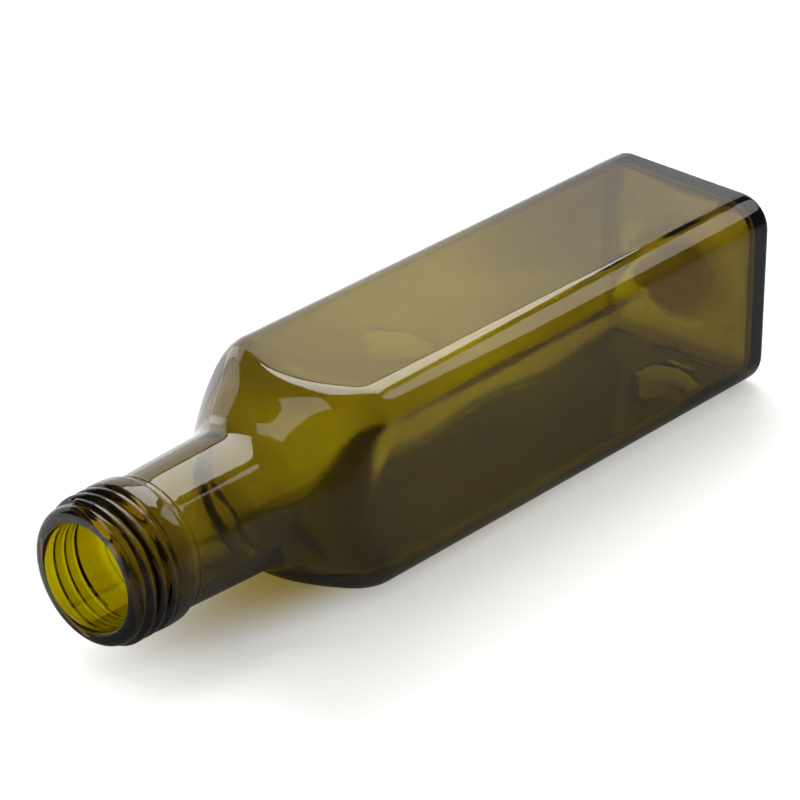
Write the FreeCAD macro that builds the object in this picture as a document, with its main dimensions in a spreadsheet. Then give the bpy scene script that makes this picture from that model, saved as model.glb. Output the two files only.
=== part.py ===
import FreeCAD, Part
import math
import os
import Sketcher

# Square glass bottle with a screw finish, lying on one flat side.  Millimetres.
# It is drawn with its long axis on X and the mouth at X = 0, then moved so that
# the origin is under the middle of the box that encloses it.

os.makedirs("parts", exist_ok=True)
doc = FreeCAD.newDocument("bottleDocument")
sheet = doc.addObject("Spreadsheet::Sheet", "sizes")

# Driving sizes; every other object reads them from here.
sizes = [
    ("overallLength", 191.4, "mouth to base"),
    ("bodyWidth", 46.5, "across the flats"),
    ("edgeRound", 7.5, "long edges of the body"),
    ("heelRound", 2.6, "edge round the base"),
    ("rootRadius", 14.5, "glass under the thread; the whole neck follows it"),
    ("lipStep", 0.55, "lip outside the thread root"),
    ("lipRound", 2.0, "outer edge of the lip"),
    ("lipDepth", 2.1, "length of the plain lip before the thread"),
    ("beadFront", 10.4, "mouth to the near side of the locking bead"),
    ("beadLength", 5.1, "length of the locking bead"),
    ("beadStep", 1.6, "bead outside the thread root"),
    ("beadRound", 1.4, "edges of the locking bead"),
    ("neckLength", 29.0, "bead to the crossing of neck and shoulder lines"),
    ("neckStep", 0.25, "neck behind the bead outside the thread root"),
    ("neckFlare", 0.9, "growth of the neck radius towards the shoulder"),
    ("shoulderAngle", 38.7, "shoulder slope against the axis, degrees"),
    ("throatRound", 10.0, "hollow curve from neck to shoulder"),
    ("crownClear", 0.13, "shoulder circle past the rounded corners"),
    ("crownRound", 12.0, "curve from shoulder to body"),
    ("pushUpRim", 7.25, "standing rim round the hollow under the base"),
    ("pushUpDepth", 2.6, "depth of that hollow"),
    ("finishWall", 3.0, "glass between bore and thread root"),
    ("boreEase", 0.6, "inner edge of the lip"),
    ("neckWall", 2.95, "glass of the neck at the shoulder"),
    ("sideWall", 2.7, "glass of the flat sides and the shoulder"),
    ("innerEdgeRound", 4.8, "inside of the long edges"),
    ("baseWall", 2.2, "glass of the base at its rim"),
    ("innerHeelRound", 4.5, "inside edge round the base"),
    ("floorRise", 5.0, "rise of the inside floor over the push-up"),
    ("threadStart", 2.75, "mouth to the middle of the first thread turn"),
    ("threadPitch", 3.0, "advance per turn"),
    ("threadRunIn", 0.2, "end of the thread inside the bead"),
    ("threadDepth", 1.45, "thread crest outside the thread root"),
    ("threadSink", 0.4, "thread foot below the thread root"),
    ("threadFoot", 2.5, "thread width at its foot"),
    ("threadTip", 1.0, "thread width at its crest"),
    ("threadAngle", 21.0, "start of the thread, degrees from the upper side"),
]
for row, (alias, value, note) in enumerate(sizes, 1):
    sheet.set("A%d" % row, alias)
    sheet.set("B%d" % row, "%g" % value)
    sheet.set("C%d" % row, note)
    sheet.setAlias("B%d" % row, alias)
doc.recompute()


def read(formula):
    # value of a formula in the named sizes, for the first placing of sketch points
    names = {alias: sheet.get(alias) for alias, value, note in sizes}
    for alias in sorted(names, key=len, reverse=True):
        formula = formula.replace("sizes." + alias, "%.9f" % names[alias])
    return float(sheet.evalExpression(formula))


def polygon(body, name, role, corners):
    # closed sketch through the corners; each coordinate is held by its own formula
    sketch = body.newObject("Sketcher::SketchObject", name)
    plane = [item for item in body.Origin.OriginFeatures if item.Role == role][0]
    sketch.AttachmentSupport = [(plane, "")]
    sketch.MapMode = "FlatFace"
    points = [FreeCAD.Vector(read(across), read(up), 0) for across, up in corners]
    count = len(points)
    for index in range(count):
        line = Part.LineSegment(points[index], points[(index + 1) % count])
        sketch.addGeometry(line, False)
    for index in range(count):
        following = (index + 1) % count
        sketch.addConstraint(Sketcher.Constraint("Coincident", index, 2, following, 1))
    for index, (across, up) in enumerate(corners):
        hold(sketch, "DistanceX", index, points[index].x, across)
        hold(sketch, "DistanceY", index, points[index].y, up)
    return sketch


def hold(sketch, kind, index, value, formula):
    number = sketch.addConstraint(Sketcher.Constraint(kind, -1, 1, index, 1, value))
    if "sizes." in formula:
        sketch.setExpression("Constraints[%d]" % number, formula)


def turned(body, name, corners):
    sketch = polygon(body, name + "Profile", "XZ_Plane", corners)
    turn = body.newObject("PartDesign::Revolution", name + "Turn")
    turn.Profile = sketch
    turn.ReferenceAxis = (sketch, ["H_Axis"])
    turn.Angle = 360.0
    doc.recompute()
    return turn


def squared(body, name, length, width):
    half = width + " / 2"
    corners = [("-" + half, "-" + half), (half, "-" + half), (half, half), ("-" + half, half)]
    sketch = polygon(body, name + "Profile", "YZ_Plane", corners)
    pad = body.newObject("PartDesign::Pad", name + "Pad")
    pad.Profile = sketch
    pad.setExpression("Length", length)
    doc.recompute()
    return pad


def rounded(body, name, base, radius, wanted):
    # fillet of the edges that the test picks
    edges = ["Edge%d" % (i + 1) for i, edge in enumerate(base.Shape.Edges) if wanted(edge)]
    fillet = body.newObject("PartDesign::Fillet", name)
    fillet.Base = (base, edges)
    fillet.setExpression("Radius", radius)
    doc.recompute()
    return fillet


def ringAt(place, radius):
    # test for the circular edge at one place along the axis and one radius
    def wanted(edge):
        curve = edge.Curve
        if not isinstance(curve, Part.Circle):
            return False
        near = abs(curve.Center.x - read(place)) < 0.02
        return near and abs(curve.Radius - read(radius)) < 0.02
    return wanted


def alongAxis(edge):
    first, last = edge.firstVertex().Point, edge.lastVertex().Point
    return isinstance(edge.Curve, Part.Line) and abs(last.x - first.x) > 1.0


def atPlace(place):
    def wanted(edge):
        box = edge.BoundBox
        return box.XMax - box.XMin < 0.01 and abs(box.XMin - read(place)) < 0.01
    return wanted


# Formulas that several pieces share.
lipRadius = "(sizes.rootRadius + sizes.lipStep)"
beadRadius = "(sizes.rootRadius + sizes.beadStep)"
beadBack = "(sizes.beadFront + sizes.beadLength)"
neckFront = "(sizes.rootRadius + sizes.neckStep)"
neckBack = "(sizes.rootRadius + sizes.neckStep + sizes.neckFlare)"
shoulderStart = "(sizes.beadFront + sizes.beadLength + sizes.neckLength)"
slope = "tan(sizes.shoulderAngle * 1 deg)"
crownRadius = ("(sizes.bodyWidth / 2 * sqrt(2) - sizes.edgeRound * (sqrt(2) - 1)"
               " + sizes.crownClear)")
crownPlace = shoulderStart + " + (" + crownRadius + " - " + neckBack + ") / " + slope
pushUpRadius = "(sizes.bodyWidth / 2 - sizes.pushUpRim)"
pushUpPlace = "sizes.overallLength - sizes.pushUpDepth"
boreRadius = "(sizes.rootRadius - sizes.finishWall)"
boreBack = "(" + neckBack + " - sizes.neckWall)"
innerCrown = ("((sizes.bodyWidth / 2 - sizes.sideWall) * sqrt(2)"
              " - sizes.innerEdgeRound * (sqrt(2) - 1) + sizes.crownClear)")
slantWall = "sizes.sideWall / cos(sizes.shoulderAngle * 1 deg)"
innerStart = (shoulderStart + " + (" + boreBack + " - " + neckBack + " + " + slantWall
              + ") / " + slope)
innerCrownPlace = (shoulderStart + " + (" + innerCrown + " - " + neckBack + " + " + slantWall
                   + ") / " + slope)
floor = "(sizes.overallLength - sizes.baseWall)"
plugRadius = boreRadius + " + sizes.boreEase + 1"
threadCrest = "sizes.rootRadius + sizes.threadDepth"
threadFoot = "sizes.rootRadius - sizes.threadSink"

# Outside, part one: everything round, turned about the long axis.
roundBody = doc.addObject("PartDesign::Body", "roundBody")
outside = turned(roundBody, "outside", [
    ("0", "0"),
    ("0", lipRadius),
    ("sizes.lipDepth", lipRadius),
    ("sizes.lipDepth + 0.5", "sizes.rootRadius"),
    ("sizes.beadFront - 0.8", "sizes.rootRadius"),
    ("sizes.beadFront", beadRadius),
    (beadBack, beadRadius),
    (beadBack + " + 0.8", neckFront),
    (shoulderStart, neckBack),
    (crownPlace, crownRadius),
    ("sizes.overallLength", crownRadius),
    ("sizes.overallLength", pushUpRadius),
    (pushUpPlace, pushUpRadius + " * 0.55"),
    (pushUpPlace, "0"),
])
outside = rounded(roundBody, "lipEdge", outside, "sizes.lipRound", ringAt("0", lipRadius))
beadNear = ringAt("sizes.beadFront", beadRadius)
beadFar = ringAt(beadBack, beadRadius)
outside = rounded(roundBody, "beadEdges", outside, "sizes.beadRound",
                  lambda edge: beadNear(edge) or beadFar(edge))
outside = rounded(roundBody, "throat", outside, "sizes.throatRound",
                  ringAt(shoulderStart, neckBack))
outside = rounded(roundBody, "crown", outside, "sizes.crownRound",
                  ringAt(crownPlace, crownRadius))

# The screw thread, one start, wound on to the same body and run into the bead.
threadSketch = polygon(roundBody, "threadProfile", "XZ_Plane", [
    ("sizes.threadStart - sizes.threadFoot / 2", threadFoot),
    ("sizes.threadStart + sizes.threadFoot / 2", threadFoot),
    ("sizes.threadStart + sizes.threadTip / 2", threadCrest),
    ("sizes.threadStart - sizes.threadTip / 2", threadCrest),
])
threadSketch.setExpression("AttachmentOffset.Rotation.Angle", "-sizes.threadAngle * 1 deg")
threadSketch.AttachmentOffset = FreeCAD.Placement(
    FreeCAD.Vector(0, 0, 0), FreeCAD.Rotation(FreeCAD.Vector(1, 0, 0), -read("sizes.threadAngle")))
thread = roundBody.newObject("PartDesign::AdditiveHelix", "thread")
thread.Profile = threadSketch
thread.ReferenceAxis = (threadSketch, ["H_Axis"])
thread.Mode = "pitch-turns-angle"
thread.setExpression("Pitch", "sizes.threadPitch")
thread.setExpression(
    "Turns", "(sizes.beadFront + sizes.threadRunIn - sizes.threadStart) / sizes.threadPitch")
doc.recompute()

# Outside, part two: the square body, as a bar with rounded edges.
squareBody = doc.addObject("PartDesign::Body", "squareBody")
bar = squared(squareBody, "bar", "sizes.overallLength", "sizes.bodyWidth")
bar = rounded(squareBody, "barEdges", bar, "sizes.edgeRound", alongAxis)
bar = rounded(squareBody, "heel", bar, "sizes.heelRound", atPlace("sizes.overallLength"))

outer = doc.addObject("Part::MultiCommon", "outer")
outer.Shapes = [roundBody, squareBody]

# The hollow, made the same two ways and a wall smaller.
hollowRound = doc.addObject("PartDesign::Body", "hollowRound")
inside = turned(hollowRound, "inside", [
    ("-1", "0"),
    ("-1", plugRadius),
    ("sizes.boreEase", boreRadius),
    (innerStart, boreBack),
    (innerCrownPlace, innerCrown),
    (floor, innerCrown),
    (floor, pushUpRadius),
    (floor + " - sizes.floorRise", pushUpRadius + " * 0.5"),
    (floor + " - sizes.floorRise", "0"),
])
inside = rounded(hollowRound, "innerThroat", inside, "sizes.throatRound",
                 ringAt(innerStart, boreBack))
inside = rounded(hollowRound, "innerCrown", inside, "sizes.crownRound",
                 ringAt(innerCrownPlace, innerCrown))

hollowSquare = doc.addObject("PartDesign::Body", "hollowSquare")
core = squared(hollowSquare, "core", floor, "(sizes.bodyWidth - 2 * sizes.sideWall)")
core = rounded(hollowSquare, "coreEdges", core, "sizes.innerEdgeRound", alongAxis)
core = rounded(hollowSquare, "coreHeel", core, "sizes.innerHeelRound", atPlace(floor))
mouthPlug = doc.addObject("Part::Cylinder", "mouthPlug")
mouthPlug.setExpression("Radius", plugRadius)
mouthPlug.Height = 2.0
mouthPlug.Placement = FreeCAD.Placement(
    FreeCAD.Vector(-1, 0, 0), FreeCAD.Rotation(FreeCAD.Vector(0, 1, 0), 90))
coreAndPlug = doc.addObject("Part::MultiFuse", "coreAndPlug")
coreAndPlug.Shapes = [hollowSquare, mouthPlug]
hollow = doc.addObject("Part::MultiCommon", "hollow")
hollow.Shapes = [hollowRound, coreAndPlug]

# The bottle is one solid.
bottle = doc.addObject("Part::Cut", "bottle")
bottle.Label = "bottle"
bottle.Base = outer
bottle.Tool = hollow
bottle.setExpression("Placement.Base.x", "-sizes.overallLength / 2")
bottle.setExpression("Placement.Base.z", "sizes.bodyWidth / 2")
doc.recompute()

for item in doc.Objects:
    if "Invalid" in item.State or "Error" in item.State:
        raise SystemExit("does not compute: %s" % item.Name)
for node in [bottle]:
    shape = node.Shape
    if shape.isNull() or not shape.isValid() or len(shape.Solids) != 1:
        raise SystemExit("not one sound solid: %s" % node.Label)
    print(node.Label, "solids", len(shape.Solids), "volume cm3", round(shape.Volume / 1000, 2),
          "hollow cm3", round(hollow.Shape.Volume / 1000, 2), "box", shape.BoundBox)
    shape.exportStep("parts/%s.step" % node.Label)
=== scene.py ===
import bmesh
import bpy
import math
from mathutils import Matrix, Vector, noise


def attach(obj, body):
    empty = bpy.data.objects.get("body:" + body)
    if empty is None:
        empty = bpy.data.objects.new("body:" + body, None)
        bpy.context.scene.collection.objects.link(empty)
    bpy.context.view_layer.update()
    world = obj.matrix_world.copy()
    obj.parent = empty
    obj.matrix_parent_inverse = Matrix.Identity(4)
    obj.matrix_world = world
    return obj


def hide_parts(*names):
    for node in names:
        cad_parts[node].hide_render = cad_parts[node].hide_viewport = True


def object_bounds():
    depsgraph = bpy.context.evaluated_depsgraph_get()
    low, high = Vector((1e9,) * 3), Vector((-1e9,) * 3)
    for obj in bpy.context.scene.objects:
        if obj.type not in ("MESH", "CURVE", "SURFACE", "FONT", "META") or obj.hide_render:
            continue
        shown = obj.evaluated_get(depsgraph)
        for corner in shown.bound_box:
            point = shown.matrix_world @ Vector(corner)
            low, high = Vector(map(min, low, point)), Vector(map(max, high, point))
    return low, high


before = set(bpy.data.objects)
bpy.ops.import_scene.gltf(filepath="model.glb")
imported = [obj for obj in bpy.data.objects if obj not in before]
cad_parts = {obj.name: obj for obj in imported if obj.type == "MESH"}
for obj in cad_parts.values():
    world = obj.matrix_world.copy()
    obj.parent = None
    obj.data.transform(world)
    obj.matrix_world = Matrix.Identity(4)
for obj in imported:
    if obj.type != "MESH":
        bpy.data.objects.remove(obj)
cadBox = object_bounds()
print("frame loaded", [round(v, 4) for v in cadBox[1] - cadBox[0]])

# Lengths below are millimetres unless a note says otherwise; metres go to Blender.
mm = 0.001
length = (cadBox[1].x - cadBox[0].x) / mm
width = (cadBox[1].z - cadBox[0].z) / mm


def srgb(code):
    # sRGB hex to linear, with full alpha
    channels = [int(code[i:i + 2], 16) / 255 for i in (0, 2, 4)]
    return [c / 12.92 if c <= 0.04045 else ((c + 0.055) / 1.055) ** 2.4 for c in channels] + [1.0]


def addNode(tree, kind, settings=None, links=None):
    # one node; settings are properties or input values, links are {input: (node, output)}
    node = tree.nodes.new(kind)
    for key, value in (settings or {}).items():
        if isinstance(key, str) and hasattr(node, key):
            setattr(node, key, value)
        else:
            node.inputs[key].default_value = value
    for key, (source, output) in (links or {}).items():
        tree.links.new(source.outputs[output], node.inputs[key])
    return node


def newMaterial(name):
    material = bpy.data.materials.new(name)
    material.use_nodes = True
    material.node_tree.nodes.clear()
    return material, material.node_tree


view = {
    "place": (-546.85, -490.59, 416.92),
    "heading": 42.048,      # degrees from +X towards +Y
    "dip": 28.054,          # degrees below the horizon
    "lens": 175.96,
}
eye = bpy.data.cameras.new("camera")
eye.lens = view["lens"]
eye.sensor_width = 36
eye.clip_start = 0.01
eye.clip_end = 30
camera = bpy.data.objects.new("camera", eye)
bpy.context.scene.collection.objects.link(camera)
camera.location = Vector(view["place"]) * mm
camera.rotation_euler = (math.radians(90 - view["dip"]), 0, math.radians(view["heading"] - 90))
bpy.context.scene.camera = camera
print("camera set")


# Places are counted from the mouth, radii and flats from the long axis.
bottle = {
    # square body: half width, long edge, its blend with the cone, radius past every corner
    "flat": width / 2, "edge": 7.5, "blend": 3.2, "far": 34.0,
    "innerFlat": width / 2 - 2.7, "innerEdge": 4.8, "innerBlend": 6.0, "innerFar": 31.0,
    # mouth, bead under the thread, neck, cone of the shoulder (degrees)
    "root": 14.5, "lip": 15.05, "lipRound": 2.0, "lipDepth": 2.1,
    "beadFront": 10.4, "beadBack": 15.5, "bead": 16.1, "beadRound": 1.4, "crown": 0.1,
    "neckFront": 14.75, "neckBack": 15.65, "shoulder": 44.5, "slope": 38.7, "throat": 10.0,
    "seam": 17.7, "seamHalf": 0.25,     # faint ring where the neck mould parts
    # hollow
    "bore": 11.5, "boreEase": 0.6, "boreBack": 12.7, "wall": 2.7,
    # base: outside push-up, and the floor that rises inside
    "heel": 2.6, "pushUp": 16.0, "pushUpDepth": 2.6,
    "baseWall": 2.2, "innerHeel": 4.5, "floorRing": 15.5, "floorTop": 9.5, "floorRise": 5.0,
    "baseZone": length * 0.7,           # past this place the square is inset ring by ring
    # thread: foot and tip are widths of the ridge, taper is in turns
    "threadStart": 2.75, "pitch": 3.0, "runIn": 0.2, "depth": 1.45,
    "foot": 2.9, "tip": 0.6, "startAngle": 21.0, "taper": 0.012,
    # uneven inside of blown glass: slow waves, a thin middle, a thick base end that is
    # thickest on the upper side (allRound is the share that the other sides get)
    "wave": 0.3, "waveLength": 21.0, "waveFrom": 30.0, "waveOver": 40.0,
    "thinner": 0.55, "thinFrom": 60.0, "thinOver": 40.0, "thinEnd": 170.0, "thinFade": 60.0,
    "thicker": 0.8, "thickFrom": 115.0, "thickOver": 65.0, "allRound": 0.35,
    "thickEnd": 0.6, "endFrom": 160.0, "endOver": 22.0,
    "steps": 256,
    # (up to this place, longest step along the line), outside and inside
    "outsideSteps": ((12.5, 0.18), (19.0, 0.4), (70.0, 1.6), (length + 1, 5.0)),
    "insideSteps": ((75.0, 1.2), (length + 1, 3.5)),
}
b = bottle      # short, for the formulas below


def roundedLine(corners, spacings):
    # open line through (place, radius, rounding) corners, rounded, then divided
    shape = bmesh.new()
    verts = [shape.verts.new((x, 0, r)) for x, r, rounding in corners]
    for first, second in zip(verts, verts[1:]):
        shape.edges.new((first, second))
    for index in range(1, len(corners) - 1):
        rounding = corners[index][2]
        if not rounding:
            continue
        before = (verts[index].co - Vector((corners[index - 1][0], 0, corners[index - 1][1]))).normalized()
        after = (Vector((corners[index + 1][0], 0, corners[index + 1][1])) - verts[index].co).normalized()
        turn = before.angle(after)
        bmesh.ops.bevel(
            shape, geom=[verts[index]], offset=rounding * math.tan(turn / 2), offset_type="OFFSET",
            segments=max(3, int(math.degrees(turn) / 7)), profile=0.5, affect="VERTICES", material=-1)
    for edge in list(shape.edges):
        middle = (edge.verts[0].co.x + edge.verts[1].co.x) / 2
        spacing = next(step for limit, step in spacings if middle < limit)
        cuts = int(edge.calc_length() / spacing)
        if cuts:
            bmesh.ops.subdivide_edges(shape, edges=[edge], cuts=cuts)
    return shape


def spinLine(shape, steps):
    bmesh.ops.spin(shape, geom=shape.verts[:] + shape.edges[:], cent=(0, 0, 0), axis=(1, 0, 0),
                   angle=2 * math.pi, steps=steps, use_merge=True)
    bmesh.ops.remove_doubles(shape, verts=shape.verts[:], dist=1e-4)
    return shape


def squareReach(angle, flat, edge):
    # distance from the axis to a square with rounded corners, in one direction
    along, across = abs(math.cos(angle)), abs(math.sin(angle))
    if across > along:
        along, across = across, along
    if flat * across / along <= flat - edge:
        return flat / along
    centre = flat - edge
    reach = centre * (along + across)
    return reach + math.sqrt(max(reach * reach - 2 * centre * centre + edge * edge, 0))


def softMin(first, second, blend):
    overlap = max(blend - abs(first - second), 0) / blend
    return min(first, second) - overlap * overlap * blend / 4


def smooth(value):
    value = min(max(value, 0), 1)
    return value * value * (3 - 2 * value)


def threadHeight(place, across, up):
    # ridge height over the thread root; one start, right-handed, run into the bead
    turns = (b["beadFront"] + b["runIn"] - b["threadStart"]) / b["pitch"]
    angle = math.atan2(-across, up) + math.radians(b["startAngle"])
    height = 0
    for lap in range(-1, 5):
        turn = angle / (2 * math.pi) + lap
        if 0 <= turn <= turns:
            away = abs(place - b["threadStart"] - b["pitch"] * turn)
            flank = smooth((b["foot"] / 2 - away) / (b["foot"] / 2 - b["tip"] / 2))
            height = max(height, flank * smooth(turn / b["taper"]))
    return height * b["depth"]


def shapeOutside(vert):
    place, across, up = vert.co
    radius = math.hypot(across, up)
    if radius < 1e-6:
        return
    angle = math.atan2(up, across)
    inset = b["far"] - radius
    if place > b["baseZone"]:
        if inset <= b["heel"]:
            reach = squareReach(angle, b["flat"] - inset, b["edge"] - inset)
        elif radius > b["pushUp"]:
            share = (inset - b["heel"]) / (b["far"] - b["pushUp"] - b["heel"])
            flat = b["flat"] - b["heel"]
            edge = b["edge"] - b["heel"]
            reach = squareReach(angle, flat + share * (b["pushUp"] - flat),
                                edge + share * (b["pushUp"] - edge))
        else:
            reach = radius
    else:
        reach = softMin(radius, squareReach(angle, b["flat"], b["edge"]), b["blend"])
    if b["lipDepth"] < place < b["beadFront"] + 1:
        reach = max(reach, b["root"] + threadHeight(place, across, up))
    scale = reach / radius
    vert.co = (place, across * scale, up * scale)


def shapeInside(vert):
    place, across, up = vert.co
    radius = math.hypot(across, up)
    if radius < 1e-6:
        return
    angle = math.atan2(up, across)
    inset = b["innerFar"] - radius
    if place > b["baseZone"]:
        if inset <= b["innerHeel"]:
            reach = squareReach(angle, b["innerFlat"] - inset, b["innerEdge"] - inset)
        elif radius > b["floorRing"]:
            share = (inset - b["innerHeel"]) / (b["innerFar"] - b["floorRing"] - b["innerHeel"])
            flat = b["innerFlat"] - b["innerHeel"]
            edge = b["innerEdge"] - b["innerHeel"]
            reach = squareReach(angle, flat + share * (b["floorRing"] - flat),
                                edge + share * (b["floorRing"] - edge))
        else:
            reach = radius
    else:
        reach = softMin(radius, squareReach(angle, b["innerFlat"], b["innerEdge"]), b["innerBlend"])
    scale = reach / radius
    moved = Vector((place, across * scale, up * scale))
    waves = smooth((place - b["waveFrom"]) / b["waveOver"]) * noise.noise(moved / b["waveLength"])
    thin = smooth((place - b["thinFrom"]) / b["thinOver"]) * smooth((b["thinEnd"] - place) / b["thinFade"])
    upper = b["allRound"] + (1 - b["allRound"]) * max(up / radius, 0)
    thick = smooth((place - b["thickFrom"]) / b["thickOver"]) * upper
    end = smooth((place - b["endFrom"]) / b["endOver"])
    swell = b["wave"] * waves + b["thinner"] * thin - b["thicker"] * thick - b["thickEnd"] * end
    outward = Vector((0, across, up)).normalized()
    vert.co = moved + outward * swell


slope = math.tan(math.radians(b["slope"]))
pushPlace = length - b["pushUpDepth"]
outsideLine = [
    # place, radius, rounding of the corner
    (0, b["bore"] + b["boreEase"], 0),
    (0, b["lip"], b["lipRound"]),
    (b["lipDepth"], b["lip"], 0.2),
    (b["lipDepth"] + 0.5, b["root"], 0.3),
    (b["beadFront"] - 0.8, b["root"], 0.4),
    (b["beadFront"], b["bead"] - b["crown"], b["beadRound"]),
    (b["beadFront"] + 2.4, b["bead"], 12.0),
    (b["beadBack"], b["bead"] - 0.2, b["beadRound"]),
    (b["beadBack"] + 0.8, b["neckFront"] + 0.1, 0.6),
    (b["seam"] - b["seamHalf"], b["neckFront"] + 0.1, 0.1),
    (b["seam"], b["neckFront"] + 0.22, 0.15),
    (b["seam"] + b["seamHalf"], b["neckFront"] + 0.04, 0.1),
    (b["shoulder"], b["neckBack"], b["throat"]),
    (b["shoulder"] + (b["far"] - b["neckBack"]) / slope, b["far"], 0),
    (length, b["far"], b["heel"]),
    (length, b["pushUp"], 2.0),
    (pushPlace, b["pushUp"] * 0.55, 4.0),
    (pushPlace, 0, 0),
]
slant = b["wall"] / math.cos(math.radians(b["slope"]))
innerStart = b["shoulder"] + (b["boreBack"] - b["neckBack"] + slant) / slope
innerTop = b["shoulder"] + (b["innerFar"] - b["neckBack"] + slant) / slope
floor = length - b["baseWall"]
insideLine = [
    (0, b["bore"] + b["boreEase"], 0),
    (b["boreEase"], b["bore"], 1.0),
    (innerStart, b["boreBack"], b["throat"]),
    (innerTop, b["innerFar"], 0),
    (floor, b["innerFar"], b["innerHeel"]),
    (floor, b["floorRing"], 5.0),
    (floor - b["floorRise"], b["floorTop"], 6.0),
    (floor - b["floorRise"], 0, 0),
]

shell = spinLine(roundedLine(outsideLine, b["outsideSteps"]), b["steps"])
for vert in shell.verts:
    shapeOutside(vert)
lining = spinLine(roundedLine(insideLine, b["insideSteps"]), b["steps"])
for vert in lining.verts:
    shapeInside(vert)
liningMesh = bpy.data.meshes.new("lining")
lining.to_mesh(liningMesh)
lining.free()
shell.from_mesh(liningMesh)
bpy.data.meshes.remove(liningMesh)
bmesh.ops.remove_doubles(shell, verts=shell.verts[:], dist=1e-3)
bmesh.ops.recalc_face_normals(shell, faces=shell.faces[:])
for vert in shell.verts:
    vert.co = Vector((vert.co.x - length / 2, vert.co.y, vert.co.z + width / 2)) * mm
for face in shell.faces:
    face.smooth = True
openEdges = [edge for edge in shell.edges if not edge.is_manifold]
print("bottle faces", len(shell.faces), "open edges", len(openEdges), "volume cm3",
      round(shell.calc_volume(signed=True) * 1e6, 2))
bottleMesh = bpy.data.meshes.new("squareBottle")
shell.to_mesh(bottleMesh)
shell.free()
squareBottle = bpy.data.objects.new("squareBottle", bottleMesh)
bpy.context.scene.collection.objects.link(squareBottle)
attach(squareBottle, "root")
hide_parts("bottle")

# Soda-lime glass, coloured in the melt and blown in a mould: clear, deep olive, colour grows
# with the thickness looked through, edges go nearly black.
glass = {
    "ripple": 9.0, "rippleDepth": 0.035,
    "ior": 1.52, "roughness": 0.0,
    "tint": "F0ED47", "density": 2350.0,     # absorbed per metre, towards the tint
}
glassMaterial, tree = newMaterial("olive soda-lime glass")
# The mould leaves the skin of the glass very slightly uneven: highlights get wavering edges.
coordinates = addNode(tree, "ShaderNodeTexCoord")
uneven = addNode(tree, "ShaderNodeTexNoise", {
    "Scale": 1 / (glass["ripple"] * mm), "Detail": 2.0, "Roughness": 0.55}, {
    "Vector": (coordinates, "Object")})
ripple = addNode(tree, "ShaderNodeBump", {
    "Strength": 1.0, "Distance": glass["rippleDepth"] * mm}, {"Height": (uneven, 0)})
surface = addNode(tree, "ShaderNodeBsdfPrincipled", {
    "Base Color": srgb("FFFFFF"), "Roughness": glass["roughness"], "IOR": glass["ior"],
    "Transmission Weight": 1.0}, {"Normal": (ripple, "Normal")})
body = addNode(tree, "ShaderNodeVolumeAbsorption", {
    "Color": srgb(glass["tint"]), "Density": glass["density"]})
addNode(tree, "ShaderNodeOutputMaterial", links={"Surface": (surface, 0), "Volume": (body, 0)})
bottleMesh.materials.append(glassMaterial)
print("bottle made")

# White paper sweep. The camera sees it lit up to white, rays that come through the glass see it
# glow behind the bottle, and mirror images on the near side show little of it: painted dark
# reflections, as if dark cards stood beside the camera.
studio = {
    "floorSize": 6.0,                   # all lengths here are metres
    "floorColour": "F6F6F4", "floorRoughness": 0.9, "floorSpecular": 0.2,
    "paintedShadow": "A8944A",                  # painted olive shadow on the paper right beside the glass
    "glow": 0.47, "openGlow": 0.9,      # for the camera: by the bottle, in the open
    "throughGlow": 0.5, "mirrored": 0.25,
    "behind": (0.015, 0.035),           # Y from which the paper counts, and counts in full
    "pastMouth": (-0.105, -0.065),      # X where the shadow is thin, and full
    "ellipse": (0.10, 0.024),           # half axes, the unit of the two distances below
    # first pair: where the painted shadow is full and where it is gone; second: where the glow of the open
    # starts and where it is full
    "paintedShadowReach": (0.4, 0.95), "open": (1.6, 4.0),
    "world": 0.08,
    "lampPower": 4.0,                   # watts per square metre that give a brightness of 1
}
ground = bmesh.new()
bmesh.ops.create_grid(ground, x_segments=1, y_segments=1, size=studio["floorSize"] / 2)
groundMesh = bpy.data.meshes.new("tableTop")
ground.to_mesh(groundMesh)
ground.free()
tableTop = bpy.data.objects.new("tableTop", groundMesh)
bpy.context.scene.collection.objects.link(tableTop)

paper, tree = newMaterial("matt white paper sweep")
rays = addNode(tree, "ShaderNodeLightPath")
coordinates = addNode(tree, "ShaderNodeTexCoord")
axes = addNode(tree, "ShaderNodeSeparateXYZ", links={0: (coordinates, "Object")})
stretched = addNode(tree, "ShaderNodeVectorMath", {
    "operation": "MULTIPLY", 1: (1 / studio["ellipse"][0], 1 / studio["ellipse"][1], 0)}, {
    0: (coordinates, "Object")})
distance = addNode(tree, "ShaderNodeVectorMath", {"operation": "LENGTH"}, {0: (stretched, 0)})

# How much of the paper each kind of ray sees: all, but little of the near side in mirror images, a painted
# dark reflection.
behind = addNode(tree, "ShaderNodeMapRange", {
    "interpolation_type": "SMOOTHSTEP",
    "From Min": studio["behind"][0], "From Max": studio["behind"][1],
    "To Min": studio["mirrored"], "To Max": 1.0}, {"Value": (axes, "Y")})
mirrored = addNode(tree, "ShaderNodeMath", {"operation": "MULTIPLY"}, {
    0: (rays, "Is Glossy Ray"), 1: (behind, 0)})
seen = addNode(tree, "ShaderNodeMath", {"operation": "ADD"}, {
    0: (rays, "Is Camera Ray"), 1: (rays, "Is Transmission Ray")})
weight = addNode(tree, "ShaderNodeMath", {"operation": "ADD", "use_clamp": True}, {
    0: (seen, 0), 1: (mirrored, 0)})
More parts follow.
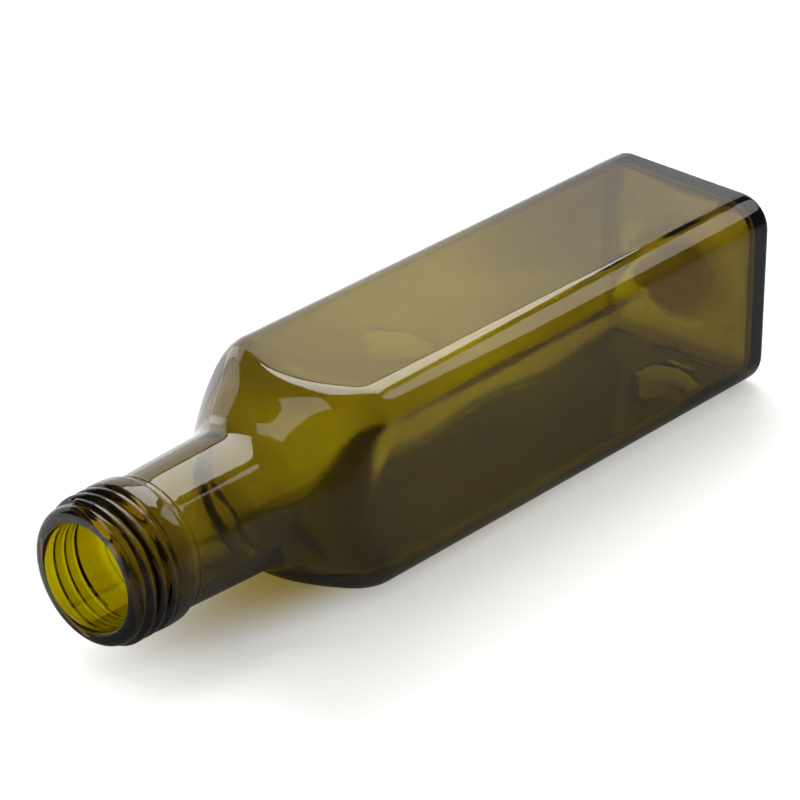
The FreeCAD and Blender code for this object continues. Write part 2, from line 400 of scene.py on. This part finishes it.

# Glow for the camera, painted light: it thins the shadow out past the mouth and away from the bottle.
pastMouth = addNode(tree, "ShaderNodeMapRange", {
    "interpolation_type": "SMOOTHSTEP",
    "From Min": studio["pastMouth"][0], "From Max": studio["pastMouth"][1],
    "To Min": studio["openGlow"], "To Max": studio["glow"]}, {"Value": (axes, "X")})
inTheOpen = addNode(tree, "ShaderNodeMapRange", {
    "interpolation_type": "SMOOTHSTEP",
    "From Min": studio["open"][0], "From Max": studio["open"][1],
    "To Min": studio["glow"], "To Max": studio["openGlow"]}, {"Value": (distance, "Value")})
brighter = addNode(tree, "ShaderNodeMath", {"operation": "MAXIMUM"}, {
    0: (pastMouth, 0), 1: (inTheOpen, 0)})
direct = addNode(tree, "ShaderNodeMath", {"operation": "MULTIPLY"}, {
    0: (rays, "Is Camera Ray"), 1: (brighter, 0)})

# Glow for rays that come by way of the glass.
bounced = addNode(tree, "ShaderNodeMath", {"operation": "ADD", "use_clamp": True}, {
    0: (rays, "Is Glossy Ray"), 1: (rays, "Is Transmission Ray")})
indirect = addNode(tree, "ShaderNodeMath", {"operation": "MULTIPLY"}, {
    0: (bounced, 0), 1: (behind, 0)})
glow = addNode(tree, "ShaderNodeMath", {"operation": "MULTIPLY_ADD", 1: studio["throughGlow"]}, {
    0: (indirect, 0), 2: (direct, 0)})

# Painted olive shadow: paper beside the glass is painted, in its colour and in its glow, with the olive of
# the light that has come through it.
paintedShadowFades = addNode(tree, "ShaderNodeMapRange", {
    "interpolation_type": "SMOOTHSTEP",
    "From Min": studio["paintedShadowReach"][0], "From Max": studio["paintedShadowReach"][1]}, {"Value": (distance, "Value")})
colour = addNode(tree, "ShaderNodeMix", {
    "data_type": "RGBA", 6: srgb(studio["paintedShadow"]), 7: srgb(studio["floorColour"])}, {
    0: (paintedShadowFades, 0)})
sheet = addNode(tree, "ShaderNodeMix", {
    "data_type": "RGBA", 6: srgb("000000")}, {0: (weight, 0), 7: (colour, 2)})
matt = addNode(tree, "ShaderNodeBsdfPrincipled", {
    "Roughness": studio["floorRoughness"], "Specular IOR Level": studio["floorSpecular"]}, {
    "Base Color": (sheet, 2), "Emission Color": (colour, 2), "Emission Strength": (glow, 0)})
addNode(tree, "ShaderNodeOutputMaterial", links={"Surface": (matt, 0)})
groundMesh.materials.append(paper)

world = bpy.data.worlds.new("studio")
bpy.context.scene.world = world
world.use_nodes = True
tree = world.node_tree
tree.nodes.clear()
sky = addNode(tree, "ShaderNodeBackground", {"Color": srgb("FFFFFF"), "Strength": studio["world"]})
addNode(tree, "ShaderNodeOutputWorld", links={"Surface": (sky, 0)})

# Softboxes are placed by the camera's own forward, left and up. One with a turn hangs level, one
# with an aim faces that place. The first of its two sides runs forward, or up if it is upright.
heading = math.radians(view["heading"])
forward = Vector((math.cos(heading), math.sin(heading), 0))
left = Vector((-math.sin(heading), math.cos(heading), 0))
softboxes = [
    {"name": "backOverheadBox", "place": (0.49, -0.05, 0.60), "size": (0.66, 0.42),
     "bright": 3.5, "turn": 9},
    {"name": "rightBox", "place": (0.38, -0.56, 0.54), "size": (0.56, 0.36),
     "bright": 1.6, "aim": (0.38, 0, 0.04)},
    {"name": "leftCeilingBox", "place": (-0.18, 0.24, 0.60), "size": (0.42, 0.20),
     "bright": 1.5, "turn": 0},
    {"name": "backPaper", "place": (1.05, 0.0, 0.35), "size": (0.70, 1.7),
     "bright": 0.78, "aim": (0, 0, 0.35), "upright": True},
    {"name": "leftPaper", "place": (0.62, 0.80, 0.24), "size": (0.48, 0.9),
     "bright": 0.8, "aim": (0, 0, 0.24), "upright": True},
]


def studioPlace(ahead, aside, up):
    return forward * ahead + left * aside + Vector((0, 0, up))


for box in softboxes:
    lamp = bpy.data.lights.new(box["name"], "AREA")
    lamp.shape = "RECTANGLE"
    lamp.size, lamp.size_y = box["size"]
    lamp.energy = box["bright"] * studio["lampPower"] * box["size"][0] * box["size"][1]
    holder = bpy.data.objects.new(box["name"], lamp)
    bpy.context.scene.collection.objects.link(holder)
    holder.location = studioPlace(*box["place"])
    if "turn" in box:
        holder.rotation_euler = (0, 0, heading + math.radians(box["turn"]))
        continue
    back = (holder.location - studioPlace(*box["aim"])).normalized()
    across = Vector((0, 0, 1)) if "upright" in box else forward
    across = (across - back * across.dot(back)).normalized()
    holder.rotation_euler = Matrix((across, back.cross(across), back)).transposed().to_euler()
bpy.context.scene.view_settings.view_transform = "Standard"
print("studio lit")
